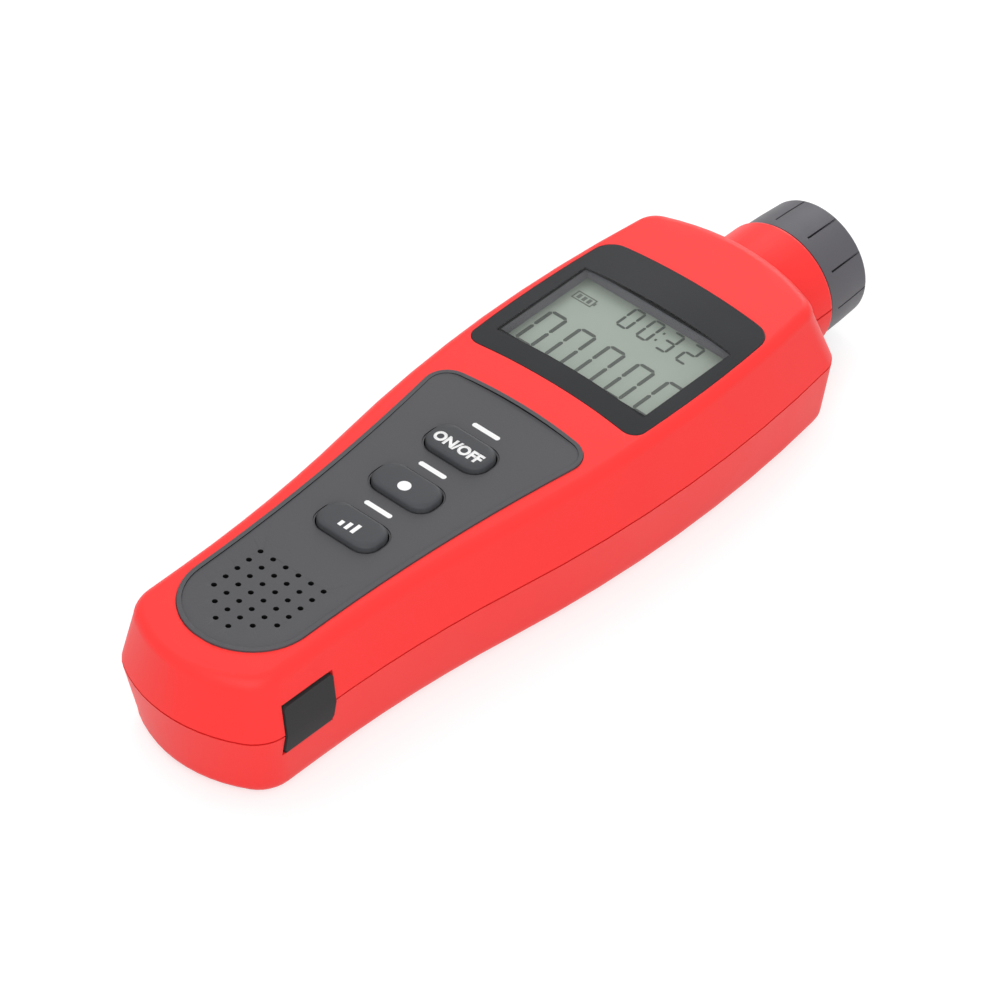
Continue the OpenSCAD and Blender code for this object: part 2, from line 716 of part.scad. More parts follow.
module window_gasket() {
    color(black)
    difference() {
        translate([0, 0, gasket_z]) linear_extrude(gasket_t) polygon(window_outline(0));
        block([-view_half_w, view_y, gasket_z - 1], [2 * view_half_w, view_l, 3]);
    }
}

// Frame that carries the glass: walls down to the board, a lip over the glass, sloped sides in view
module display_frame() {
    well_slope = 0.6;
    color("#8b8d90")
    difference() {
        union() {
            block([-frame_w / 2, frame_y, board_top],
                [frame_w, frame_l, lcd_top + shoulder_t - fit - board_top]);
            block([-view_half_w - collar_wall, view_y - collar_wall, lcd_top],
                [2 * (view_half_w + collar_wall), view_l + 2 * collar_wall, frame_top - lcd_top]);
        }
        hull() {
            block([-view_half_w, view_y, frame_top + 0.01], [2 * view_half_w, view_l, 0.5]);
            block([-view_half_w + well_slope, view_y + well_slope, lcd_top - 0.5],
                [2 * (view_half_w - well_slope), view_l - 2 * well_slope, 0.1]);
        }
        block([-lcd_w / 2 - fit, lcd_y - fit, board_top - 1],
            [lcd_w + 2 * fit, lcd_l + 2 * fit, lcd_top - board_top + 1]);
    }
}

module lcd_panel() {
    color("#a8b3a8")
    union() {
        block([-lcd_w / 2, lcd_y, lcd_z], [lcd_w, lcd_l, lcd_t / 2]);
        block([-lcd_w / 2, lcd_y + strip_t, lcd_z + lcd_t / 2],
            [lcd_w, lcd_l - 2 * strip_t, lcd_t / 2 - fit / 2]);
    }
}

// An elastomer strip that carries the contacts from the board up to the glass
module zebra_strip(y) {
    color("#3a3a55") block([-lcd_w / 2 + 1, y, board_top], [lcd_w - 2, strip_t, lcd_z - board_top]);
}

module main_board() {
    board_y = panel_y + 4;
    relief_w = 8.4;
    color(green)
    difference() {
        intersection() {
            translate([0, 0, board_z]) linear_extrude(board_t) polygon(case_outline(wall + 1));
            block([-head_w, board_y, 0], [2 * head_w, sensor_y - 2.5 - board_y, case_h]);
        }
        block([-relief_w / 2, 0, board_z - 1], [relief_w, tail_screw_y + 4, board_t + 2]);
        for (p = board_screw_at)
            translate([p.x, p.y, board_z - 1]) cylinder(r = board_screw_r + fit, h = board_t + 2);
    }
}

module processor() {
    size = 10;
    lead = 0.35;
    pitch = 1;
    color(black)
    translate([0, chip_y, board_top]) {
        translate([-size / 2, -size / 2, 0.1]) cube([size, size, 1.4]);
        for (a = [0 : 90 : 270], k = [-4 : 4])
            rotate([0, 0, a]) translate([size / 2 - 0.1, k * pitch - lead / 2, 0]) cube([1, lead, 0.4]);
    }
}

module buzzer() {
    color(black)
    on_keypad()
        translate([0, buzzer_y, -floor_under - buzzer_t])
            difference() {
                cylinder(r = buzzer_r, h = buzzer_t);
                translate([0, 0, buzzer_t - 1.2]) cylinder(r = 1.5, h = 3);
            }
}

// Small five-pole socket on the board's edge, facing the side cover
module usb_socket() {
    socket_w = 7.7;
    socket_h = 3.95;
    socket_l = 7.4;
    face_x = grip_half - wall - 0.6;
    shell = 0.4;
    color(steel) {
        translate([face_x - socket_l, cover_y - socket_w / 2, board_top])
            difference() {
                cube([socket_l, socket_w, socket_h]);
                translate([1.5, shell, shell]) cube([socket_l, socket_w - 2 * shell, socket_h - 2 * shell]);
            }
        translate([face_x - socket_l + 1, cover_y - 2, board_top + socket_h / 2 - 0.5])
            cube([socket_l - 1.6, 4, 0.9]);
    }
}

// Rubber flap over the socket: plate bent along the wall, bead it turns on and a short plug
module usb_cover() {
    bead_in = 0.5;
    color(dark) {
        intersection() {
            wall_strip(cover_z, cover_z + cover_h, seat_depth - clear, cover_proud, cover_w);
            translate([0, cover_y, cover_z + cover_h / 2])
                rotate([90, 0, 90])
                    linear_extrude(head_w) rounded(cover_w, cover_h, 0.9);
        }
        translate([wall_x(cover_z) + cover_proud - bead_r, cover_y - cover_w / 2 + bead_in, cover_z])
            rotate([-90, 0, 0]) cylinder(r = bead_r, h = cover_w - 2 * bead_in);
        block([grip_half - wall - 0.4, cover_y - 3, board_top + 1.35], [1.4, 6, 1.2]);
    }
}

module battery_door() {
    grip_lines = 5;
    color(red) {
        difference() {
            block([-door_w / 2 + clear, door_y + clear, door_sink],
                [door_w - 2 * clear, door_l - 2 * clear, door_t]);
            for (k = [0 : grip_lines - 1])
                block([-latch_w / 2, door_y + door_l - 6 - 1.6 * k, door_sink - 1], [latch_w, 0.7, 1.4]);
        }
        for (s = [-1, 1]) {
            block([s * tab_x - tab_w / 2, door_y + clear, door_sink + door_t / 2],
                [tab_w, riser_t, door_t / 2 + fit + 0.2 + tab_t]);
            block([s * tab_x - tab_w / 2, door_y - tab_reach, door_sink + door_t + fit + 0.2],
                [tab_w, tab_reach + clear + riser_t, tab_t]);
        }
        block([-latch_w / 2, bay_y + bay_l - 0.4, door_sink + door_t / 2], [latch_w, 1.1, 2.2]);
    }
}

// A cell lying along the case, its button towards the head or the tail
module cell(x, to_head) {
    button_l = 1;
    button_r = 1.9;
    start = bay_y + (to_head ? 4.4 : 1.2 + plate_t);
    color("#31518c")
    translate([x, start + cell_l / 2, cell_z])
        rotate([to_head ? -90 : 90, 0, 0])
            rotate_extrude()
                polygon([[0, -cell_l / 2], [cell_d / 2 - 0.4, -cell_l / 2], [cell_d / 2, -cell_l / 2 + 0.4],
                    [cell_d / 2, cell_l / 2 - button_l - 0.4], [cell_d / 2 - 0.4, cell_l / 2 - button_l],
                    [button_r, cell_l / 2 - button_l], [button_r, cell_l / 2], [0, cell_l / 2]]);
}

// Tapering coil spring from its base ring at z = 0 up to a height
module coil(height) {
    wire_r = 0.35;
    turns = 3;
    per_turn = 12;
    sides = 6;
    count = turns * per_turn;
    function along(k) = let (t = k / count, a = 360 * turns * t, r = 3.6 - 1.4 * t)
        [r * cos(a), r * sin(a), wire_r + (height - 2 * wire_r) * t];
    points = [for (k = [0 : count], s = [0 : sides - 1])
        let (c = along(k), a = 360 * turns * k / count, b = 360 * s / sides)
        c + wire_r * [cos(b) * cos(a), cos(b) * sin(a), sin(b)]];
    faces = concat(
        [[for (s = [sides - 1 : -1 : 0]) s]],
        [for (k = [0 : count - 1], s = [0 : sides - 1])
            let (n = (s + 1) % sides, a = k * sides)
            each [[a + s, a + sides + n, a + sides + s], [a + s, a + n, a + sides + n]]],
        [[for (s = [0 : sides - 1]) count * sides + s]]);
    polyhedron(points = points, faces = faces);
}

// Contact plates on the bay's tail or head wall, with a spring where a cell's flat end meets it
module contact(tail, springs, from_x, to_x) {
    half = 3.6;
    spring_l = 3.9;
    wall_y = tail ? bay_y + fit : bay_y + bay_l - fit - plate_t;
    color(steel) {
        block([from_x - half, wall_y, cell_z - half], [to_x - from_x + 2 * half, plate_t, 2 * half]);
        for (x = springs)
            translate([x, tail ? wall_y + plate_t - 0.2 : wall_y + 0.2, cell_z])
                rotate([tail ? -90 : 90, 0, 0]) coil(spring_l);
        for (x = [from_x, to_x])
            if (len([for (s = springs) if (s == x) s]) == 0)
                translate([x, tail ? wall_y + plate_t - 0.1 : wall_y + 0.1, cell_z])
                    rotate([tail ? -90 : 90, 0, 0]) cylinder(r = 1.8, h = 0.9);
    }
}

module lens_hood() {
    hood_y = neck_end + fit;
    hood_lean = atan((hood_back_r - hood_rim_r) / (total_l - hood_y));
    bore_r = lens_r + fit;
    color(dark)
    difference() {
        along_axis(0)
            rotate_extrude()
                polygon(concat(
                    [[spigot_bore_r, spigot_y], [spigot_r, spigot_y], [spigot_r, flange_y],
                        [flange_ring_r, flange_y], [flange_ring_r, flange_y + flange_ring_t],
                        [spigot_r, flange_y + flange_ring_t], [spigot_r, hood_y], [hood_back_r, hood_y],
                        [(hood_back_r + hood_rim_r) / 2 + 0.05, (hood_y + total_l) / 2]],
                    arc([hood_rim_r - hood_edge_r, total_l - hood_edge_r], hood_edge_r, 0, 90, 6),
                    [[bore_r + 0.9, total_l], [bore_r, lens_y + lens_edge_t + 2.4], [bore_r, lens_y],
                        [spigot_bore_r, lens_y]]));
        for (k = [0 : notch_count - 1])
            along_axis(total_l)
                rotate([0, 0, 360 * k / notch_count])
                    translate([hood_rim_r - notch_depth, 0, 0])
                        rotate([0, atan(notch_depth / notch_l) + hood_lean, 0])
                            translate([0, -notch_w / 2, -2 * notch_l]) cube([2, notch_w, 3 * notch_l]);
    }
}

module front_lens() {
    sag = lens_curve_r - sqrt(lens_curve_r * lens_curve_r - lens_r * lens_r);
    color("#c0d0dc", 0.5)
    along_axis(lens_y + fit / 2)
        rotate_extrude()
            polygon(concat(
                [[0, 0], [lens_r, 0]],
                arc([0, lens_edge_t + sag - lens_curve_r], lens_curve_r, acos(lens_r / lens_curve_r), 90, 12)));
}

// Black block in the spigot with a bore each for the laser and the sensor
module optics_holder() {
    color(black)
    difference() {
        union() {
            along_axis(holder_y) cylinder(r = spigot_r - 0.2, h = spigot_y - holder_y - fit);
            along_axis(holder_y + 1) cylinder(r = spigot_bore_r - fit, h = holder_l);
        }
        along_axis(holder_y - 1, 0, laser_up) cylinder(r = laser_r + fit, h = 2 * holder_l);
        along_axis(holder_y - 1, 0, -sensor_down) cylinder(r = sensor_r + fit, h = 2 * holder_l);
    }
}

module laser_module() {
    color("#b98d3c")
    along_axis(holder_y - 2, 0, laser_up)
        difference() {
            union() {
                cylinder(r = laser_r, h = laser_l);
                for (s = [-1, 1])
                    translate([s * 1.27, 0, sensor_y + board_t - holder_y + 2])
                        cylinder(r = 0.25, h = holder_y - sensor_y - board_t - 1.5, $fn = 24);
            }
            translate([0, 0, laser_l - 1.4]) cylinder(r1 = laser_r / 3, r2 = 0.75 * laser_r, h = 2);
        }
}

module photo_sensor() {
    color("#2a2430")
    along_axis(holder_y - 1.2, 0, -sensor_down) {
        rotate_extrude()
            polygon(concat(
                [[0, 0], [2.9, 0], [2.9, 1], [sensor_r, 1]],
                arc([0, 5], sensor_r, 0, 90, 10)));
        for (s = [-1, 1])
            translate([s * 1.27, 0, sensor_y + board_t - holder_y + 1.2])
                cylinder(r = 0.25, h = holder_y - sensor_y - board_t - 1, $fn = 24);
    }
}

module sensor_board() {
    color(green)
        block([-sensor_board_w / 2, sensor_y, axis_z - sensor_board_drop],
            [sensor_board_w, board_t, sensor_board_h]);
}

// Pin block on the main board whose pins end at the sensor board
module sensor_header() {
    pin = 0.6;
    pitch = 2.54;
    color(black) {
        block([-2 * pitch, sensor_y - 5.5, board_top], [4 * pitch, 2.5, 2.5]);
        for (k = [-1.5 : 1 : 1.5])
            block([k * pitch - pin / 2, sensor_y - 3.2, board_top + 1.25 - pin / 2], [pin, 3.2, pin]);
    }
}

module case_screws() {
    color(steel)
    for (p = case_screw_at)
        translate([p.x, p.y, screw_seat_z])
            difference() {
                union() {
                    translate([0, 0, -screw_head_h]) cylinder(r = screw_head_r, h = screw_head_h);
                    translate([0, 0, -0.1]) cylinder(r = screw_r - 0.02, h = screw_l);
                }
                for (a = [0, 90])
                    translate([0, 0, -screw_head_h]) rotate([0, 0, a]) cube([2.6, 0.6, 1.8], center = true);
            }
}

module board_screws() {
    color(steel)
    for (p = board_screw_at)
        translate([p.x, p.y, board_z])
            difference() {
                union() {
                    translate([0, 0, -board_head_h]) cylinder(r = 1.9, h = board_head_h);
                    translate([0, 0, -0.1]) cylinder(r = board_screw_r - 0.02, h = board_screw_l);
                }
                for (a = [0, 90])
                    translate([0, 0, -board_head_h]) rotate([0, 0, a]) cube([2, 0.5, 1.2], center = true);
            }
}

// Everything is drawn from the tail and then centred on its own length
module placed() {
    translate([0, -total_l / 2, 0]) children();
}

placed() front_case();
placed() rear_case();
placed() keypad_panel();
placed() key(2);  // power_key
placed() key(1);  // record_key
placed() key(0);  // mode_key
placed() push_switch(2);  // power_switch
placed() push_switch(1);  // record_switch
placed() push_switch(0);  // mode_switch
placed() display_window();
placed() window_gasket();
placed() display_frame();
placed() lcd_panel();
placed() zebra_strip(lcd_y);  // tail_zebra_strip
placed() zebra_strip(lcd_y + lcd_l - strip_t);  // head_zebra_strip
placed() main_board();
placed() processor();
placed() buzzer();
placed() usb_socket();
placed() usb_cover();
placed() battery_door();
placed() cell(-cell_pitch, true);  // cell_left
placed() cell(0, false);  // cell_middle
placed() cell(cell_pitch, true);  // cell_right
placed() contact(true, [-cell_pitch], -cell_pitch, 0);  // tail_link_contact
placed() contact(true, [cell_pitch], cell_pitch, cell_pitch);  // tail_spring_contact
placed() contact(false, [0], 0, cell_pitch);  // head_link_contact
placed() contact(false, [], -cell_pitch, -cell_pitch);  // head_plate_contact
placed() lens_hood();
placed() front_lens();
placed() optics_holder();
placed() laser_module();
placed() photo_sensor();
placed() sensor_board();
placed() sensor_header();
placed() case_screws();
placed() board_screws();
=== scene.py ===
"""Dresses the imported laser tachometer.

It gives the solids smooth moulded skins and finishes, adds the display's marks and the key legends,
and sets up the studio and the camera.
"""

import logging
import math
from dataclasses import dataclass
from enum import Enum

import bmesh
import bpy
from mathutils import Matrix, Vector


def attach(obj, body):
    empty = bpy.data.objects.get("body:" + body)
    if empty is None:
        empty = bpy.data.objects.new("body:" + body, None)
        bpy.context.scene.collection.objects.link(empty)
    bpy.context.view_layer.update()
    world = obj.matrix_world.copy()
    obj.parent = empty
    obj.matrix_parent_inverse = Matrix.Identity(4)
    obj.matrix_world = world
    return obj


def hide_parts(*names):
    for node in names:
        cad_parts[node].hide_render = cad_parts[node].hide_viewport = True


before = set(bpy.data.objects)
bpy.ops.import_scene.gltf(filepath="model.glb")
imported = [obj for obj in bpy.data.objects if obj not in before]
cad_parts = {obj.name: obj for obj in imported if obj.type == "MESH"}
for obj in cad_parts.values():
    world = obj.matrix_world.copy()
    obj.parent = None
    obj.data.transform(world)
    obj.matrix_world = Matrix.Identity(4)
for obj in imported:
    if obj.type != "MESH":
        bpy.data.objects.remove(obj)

LOG = logging.getLogger("tachometer")
MM = 0.001
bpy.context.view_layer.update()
Color = tuple[float, float, float]


class Part(Enum):
    """Rigid bodies of the frame that pieces ride on."""

    CASE = "case"
    POWER = "power_key"
    RECORD = "record_key"
    MODE = "mode_key"
    COVER = "usb_cover"
    DOOR = "battery_door"


class Surface(Enum):
    """Kinds of surface that the finishes are made of."""

    MOULDED = "moulded"
    RUBBER = "rubber"
    METAL = "metal"
    CLEAR = "clear"
    PRINT = "print"


def linear(red: int, green: int, blue: int) -> Color:
    """Turns an 8-bit screen colour into the linear one that shaders use.

    Args:
        red: Red from 0 to 255.
        green: Green from 0 to 255.
        blue: Blue from 0 to 255.

    Returns:
        The linear colour.
    """

    def channel(value: int) -> float:
        """Linear value of one channel."""
        share = value / 255
        return share / 12.92 if share <= 0.04045 else ((share + 0.055) / 1.055) ** 2.4

    return channel(red), channel(green), channel(blue)


class ShaderKit:
    """Node groups that several finishes share, each built once."""

    FINE_DETAIL = 3.0
    CELL_SHARE = 0.6
    BROAD_DETAIL = 2.0
    TONE_SPAN = (0.3, 0.7)

    def __init__(self) -> None:
        """Builds the groups."""
        self.grain = self._grain()
        self.tone = self._tone()

    @staticmethod
    def _new(name: str, inputs: list[str], outputs: list[str]) -> tuple:
        """Makes an empty group with float sockets.

        Args:
            name: Name of the group.
            inputs: Names of its inputs.
            outputs: Names of its outputs.

        Returns:
            The group, its input node and its output node.
        """
        group = bpy.data.node_groups.new(name, "ShaderNodeTree")
        for label in inputs:
            group.interface.new_socket(name=label, in_out="INPUT", socket_type="NodeSocketFloat")
        for label in outputs:
            group.interface.new_socket(name=label, in_out="OUTPUT", socket_type="NodeSocketFloat")
        return group, group.nodes.new("NodeGroupInput"), group.nodes.new("NodeGroupOutput")

    def _grain(self) -> bpy.types.NodeTree:
        """Fine spark-eroded texture of a mould: soft cells over fine noise.

        Returns:
            A group with a height output.
        """
        group, source, sink = self._new("mould_grain", ["Scale"], ["Height"])
        place = group.nodes.new("ShaderNodeTexCoord")
        cells = group.nodes.new("ShaderNodeTexVoronoi")
        cells.feature = "SMOOTH_F1"
        fine = group.nodes.new("ShaderNodeTexNoise")
        fine.inputs["Detail"].default_value = self.FINE_DETAIL
        join = group.nodes.new("ShaderNodeMath")
        join.operation = "MULTIPLY_ADD"
        join.inputs[1].default_value = self.CELL_SHARE
        for texture in (cells, fine):
            group.links.new(place.outputs["Object"], texture.inputs["Vector"])
            group.links.new(source.outputs["Scale"], texture.inputs["Scale"])
        group.links.new(cells.outputs["Distance"], join.inputs[0])
        group.links.new(fine.outputs["Fac"], join.inputs[2])
        group.links.new(join.outputs["Value"], sink.inputs["Height"])
        return group

    def _tone(self) -> bpy.types.NodeTree:
        """Broad soft patches, as handling and flow in the mould leave them.

        Returns:
            A group with a value output from 0 to 1.
        """
        group, source, sink = self._new("handling_tone", ["Scale"], ["Value"])
        place = group.nodes.new("ShaderNodeTexCoord")
        broad = group.nodes.new("ShaderNodeTexNoise")
        broad.inputs["Detail"].default_value = self.BROAD_DETAIL
        spread = group.nodes.new("ShaderNodeMapRange")
        spread.inputs["From Min"].default_value = self.TONE_SPAN[0]
        spread.inputs["From Max"].default_value = self.TONE_SPAN[1]
        group.links.new(place.outputs["Object"], broad.inputs["Vector"])
        group.links.new(source.outputs["Scale"], broad.inputs["Scale"])
        group.links.new(broad.outputs["Fac"], spread.inputs["Value"])
        group.links.new(spread.outputs["Result"], sink.inputs["Value"])
        return group


@dataclass(frozen=True)
class Finish:
    """One surface finish and how its material is built."""

    name: str
    surface: Surface
    color: Color
    roughness: float
    grain_mm: float = 0.35
    grain_depth: float = 0.05
    mottle: float = 0.03
    gloss_spread: float = 0.06
    coat: float = 0.0
    ior: float = 1.46
    mirror: float = 0.5

    TONE_SCALE = 45.0
    COAT_ROUGHNESS = 0.25
    BUMP_MM = 0.1

    def material(self, kit: ShaderKit) -> bpy.types.Material:
        """Builds the material once and returns it.

        Args:
            kit: The shared node groups.

        Returns:
            The finished material.
        """
        label = "tachometer_" + self.name
        known = bpy.data.materials.get(label)
        if known:
            return known
        made = bpy.data.materials.new(label)
        made.use_nodes = True
        nodes, links = made.node_tree.nodes, made.node_tree.links
        shader = nodes["Principled BSDF"]
        shader.inputs["IOR"].default_value = self.ior
        shader.inputs["Specular IOR Level"].default_value = self.mirror
        shader.inputs["Base Color"].default_value = (*self.color, 1.0)
        if self.surface is Surface.METAL:
            shader.inputs["Metallic"].default_value = 1.0
        if self.surface is Surface.CLEAR:
            shader.inputs["Transmission Weight"].default_value = 1.0
            shader.inputs["Roughness"].default_value = self.roughness
            return made
        if self.coat:
            shader.inputs["Coat Weight"].default_value = self.coat
            shader.inputs["Coat Roughness"].default_value = self.COAT_ROUGHNESS
        tone = nodes.new("ShaderNodeGroup")
        tone.node_tree = kit.tone
        tone.inputs["Scale"].default_value = self.TONE_SCALE
        shade = nodes.new("ShaderNodeMix")
        shade.data_type = "RGBA"
        shade.inputs["A"].default_value = (*(c * (1 - self.mottle) for c in self.color), 1.0)
        shade.inputs["B"].default_value = (*(min(1.0, c * (1 + self.mottle)) for c in self.color), 1.0)
        links.new(tone.outputs["Value"], shade.inputs["Factor"])
        links.new(shade.outputs["Result"], shader.inputs["Base Color"])
        gloss = nodes.new("ShaderNodeMapRange")
        gloss.inputs["To Min"].default_value = self.roughness - self.gloss_spread / 2
        gloss.inputs["To Max"].default_value = self.roughness + self.gloss_spread / 2
        links.new(tone.outputs["Value"], gloss.inputs["Value"])
        links.new(gloss.outputs["Result"], shader.inputs["Roughness"])
        if self.surface is not Surface.PRINT:
            grain = nodes.new("ShaderNodeGroup")
            grain.node_tree = kit.grain
            grain.inputs["Scale"].default_value = 1 / (self.grain_mm * MM)
            bump = nodes.new("ShaderNodeBump")
            bump.inputs["Strength"].default_value = self.grain_depth
            bump.inputs["Distance"].default_value = self.BUMP_MM * MM
            links.new(grain.outputs["Height"], bump.inputs["Height"])
            links.new(bump.outputs["Normal"], shader.inputs["Normal"])
        return made


@dataclass(frozen=True)
class WellFace(Finish):
    """A face at the bottom of a well, with painted shade toward the walls at its left and head, standing in
    for the shade those walls cast.
    """

    left_x: float = -18.0
    head_y: float = 43.0
    reach: float = 3.8
    depth: float = 0.6

    def _falloff(self, made: bpy.types.Material, offset: bpy.types.NodeSocket, wall: float,
                 reach: float) -> bpy.types.Node:
        """Adds the share of light that is left at a distance from one wall.

        Args:
            made: The material.
            offset: Place across the wall, in metres.
            wall: Where the wall stands, in millimetres.
            reach: How far its shade goes and to which side, in millimetres.

        Returns:
            The node that puts out the share.
        """
        share = made.node_tree.nodes.new("ShaderNodeMapRange")
        share.interpolation_type = "SMOOTHSTEP"
        share.inputs["From Min"].default_value = wall * MM
        share.inputs["From Max"].default_value = (wall + reach) * MM
        share.inputs["To Min"].default_value = self.depth
        made.node_tree.links.new(offset, share.inputs["Value"])
        return share

    def material(self, kit: ShaderKit) -> bpy.types.Material:
        """Builds the finish and darkens it along both walls with painted shade.

        Args:
            kit: The shared node groups.

        Returns:
            The finished material.
        """
        made = super().material(kit)
        nodes, links = made.node_tree.nodes, made.node_tree.links
        color = nodes["Principled BSDF"].inputs["Base Color"]
        plain = color.links[0].from_socket
        place = nodes.new("ShaderNodeTexCoord")
        axes = nodes.new("ShaderNodeSeparateXYZ")
        links.new(place.outputs["Object"], axes.inputs["Vector"])
        left = self._falloff(made, axes.outputs["X"], self.left_x, self.reach)
        head = self._falloff(made, axes.outputs["Y"], self.head_y, -self.reach)
        both = nodes.new("ShaderNodeMath")
        both.operation = "MULTIPLY"
        links.new(left.outputs["Result"], both.inputs[0])
        links.new(head.outputs["Result"], both.inputs[1])
        # Painted shade: the face's colour is mixed toward black near the left and head walls of the well.
        shade = nodes.new("ShaderNodeMix")
        shade.data_type = "RGBA"
        shade.inputs["A"].default_value = (0.0, 0.0, 0.0, 1.0)
        links.new(both.outputs["Value"], shade.inputs["Factor"])
        links.new(plain, shade.inputs["B"])
        links.new(shade.outputs["Result"], color)
        return made


CASE_RED = Finish("case_red", Surface.MOULDED, linear(252, 56, 54), 0.42, mottle=0.02, mirror=0.25)
PANEL_GREY = Finish("panel_grey", Surface.MOULDED, linear(81, 81, 84), 0.52, grain_depth=0.12, mirror=0.25)
KEY_GREY = Finish("key_grey", Surface.RUBBER, linear(71, 72, 75), 0.52, grain_depth=0.06, mirror=0.25)
HOOD_GREY = Finish("hood_grey", Surface.MOULDED, linear(93, 92, 97), 0.45, grain_depth=0.08, mirror=0.3)
COVER_RUBBER = Finish("cover_rubber", Surface.RUBBER, linear(48, 48, 49), 0.6, grain_depth=0.1, mirror=0.2)
# Painted shade: the case red darkened, for the faces down in the seam gap where shade falls.
PAINTED_SEAM_SHADE = Finish("painted_seam_shade", Surface.MOULDED, linear(235, 46, 44), 0.7, mirror=0.1)
# Painted shade: near-black for the walls of the panel's holes and rim steps, standing in for the shade in
# them.
PAINTED_STEP_SHADE = Finish("painted_step_shade", Surface.MOULDED, linear(20, 21, 22), 0.6, mirror=0.15)
BORDER_INK = Finish("border_ink", Surface.MOULDED, linear(44, 45, 47), 0.22, grain_depth=0.0, mirror=0.22)
WELL_GREY = Finish("well_grey", Surface.MOULDED, linear(92, 92, 97), 0.5)
# The liquid-crystal face's own colour, with painted shade near the well's left and head walls.
LCD_FACE = WellFace("lcd_face", Surface.MOULDED, linear(157, 168, 157), 0.4, grain_mm=0.2, grain_depth=0.02,
                    mirror=0.2)
LCD_INK = Finish("lcd_ink", Surface.PRINT, linear(68, 75, 70), 0.5)
LCD_FAINT = Finish("lcd_faint", Surface.PRINT, linear(92, 100, 93), 0.5)
KEY_WHITE = Finish("key_white", Surface.PRINT, linear(240, 240, 240), 0.5)
CLEAR_WINDOW = Finish("clear_window", Surface.CLEAR, (1.0, 1.0, 1.0), 0.0, ior=1.3, mirror=0.3)
LENS_CLEAR = Finish("lens_clear", Surface.CLEAR, (0.93, 0.96, 1.0), 0.0, ior=1.5, mirror=0.15)
BOARD_GREEN = Finish("board_green", Surface.MOULDED, linear(40, 104, 66), 0.4)
BLACK_PLASTIC = Finish("black_plastic", Surface.MOULDED, linear(34, 34, 36), 0.45)
STRIP_RUBBER = Finish("strip_rubber", Surface.RUBBER, linear(58, 58, 78), 0.6)
PLATED_STEEL = Finish("plated_steel", Surface.METAL, linear(196, 198, 201), 0.28, grain_mm=0.15)
CELL_SLEEVE = Finish("cell_sleeve", Surface.MOULDED, linear(49, 81, 140), 0.3, coat=0.4)
BRASS = Finish("brass_barrel", Surface.METAL, linear(196, 158, 90), 0.3, grain_mm=0.15)

NODE_FINISH: dict[str, Finish] = {
    "window_gasket": BORDER_INK, "display_frame": WELL_GREY, "lcd_panel": LCD_FACE,
    "power_switch": BLACK_PLASTIC, "record_switch": BLACK_PLASTIC, "mode_switch": BLACK_PLASTIC,
    "tail_zebra_strip": STRIP_RUBBER, "head_zebra_strip": STRIP_RUBBER,
    "main_board": BOARD_GREEN, "sensor_board": BOARD_GREEN,
    "processor": BLACK_PLASTIC, "buzzer": BLACK_PLASTIC, "sensor_header": BLACK_PLASTIC,
    "usb_socket": PLATED_STEEL, "case_screws": PLATED_STEEL, "board_screws": PLATED_STEEL,
    "cell_left": CELL_SLEEVE, "cell_middle": CELL_SLEEVE, "cell_right": CELL_SLEEVE,
    "tail_link_contact": PLATED_STEEL, "tail_spring_contact": PLATED_STEEL,
    "head_link_contact": PLATED_STEEL, "head_plate_contact": PLATED_STEEL,
    "optics_holder": BLACK_PLASTIC, "laser_module": BRASS, "photo_sensor": BLACK_PLASTIC,
}


def new_piece(name: str, mesh: bpy.types.Mesh, body: Part,
              finish: bpy.types.Material) -> bpy.types.Object:
    """Puts a mesh in the scene as a piece that rides on a body.

    Args:
        name: Name of the piece.
        mesh: Its mesh, already in place.
        body: The body it rides on.
        finish: Its material.

    Returns:
        The new object.
    """
    piece = bpy.data.objects.new(name, mesh)
    bpy.context.scene.collection.objects.link(piece)
    mesh.materials.clear()
    mesh.materials.append(finish)
    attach(piece, body.value)
    LOG.info("%s: %d faces on %s", name, len(mesh.polygons), body.value)
    return piece


@dataclass
class MouldedPiece:
    """A smooth-shaded copy of one solid, with its sharp edges broken as a mould leaves them."""

    node: str
    body: Part
    slot: str
    finish: Finish
    edge_mm: float = 0.15
    sharp_deg: float = 32.0
    segments: int = 2

    MERGE_MM = 0.004
    SLIVER_MM = 0.002

    def build(self, kit: ShaderKit) -> bpy.types.Object:
        """Copies, merges and rounds the solid, and stands it in the solid's place.

        Args:
            kit: The shared node groups.

        Returns:
            The finished piece.
        """
        shape = bmesh.new()
        shape.from_mesh(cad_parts[self.node].data)
        bmesh.ops.remove_doubles(shape, verts=shape.verts, dist=self.MERGE_MM * MM)
        bmesh.ops.dissolve_degenerate(shape, edges=shape.edges, dist=self.SLIVER_MM * MM)
        for face in shape.faces:
            face.smooth = True
        mesh = bpy.data.meshes.new(self.node + "_shell")
        shape.to_mesh(mesh)
        shape.free()
        mesh.set_sharp_from_angle(angle=math.radians(self.sharp_deg))
        piece = new_piece(self.node + "_shell", mesh, self.body, self.finish.material(kit))
        piece.visible_shadow = self.finish.surface is not Surface.CLEAR
        if self.edge_mm:
            edge = piece.modifiers.new("broken_edge", "BEVEL")
            edge.width = self.edge_mm * MM
            edge.segments = self.segments
            edge.limit_method = "ANGLE"
            edge.angle_limit = math.radians(self.sharp_deg)
        even = piece.modifiers.new("even_normals", "WEIGHTED_NORMAL")
        even.keep_sharp = True
        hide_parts(self.node)
        return piece


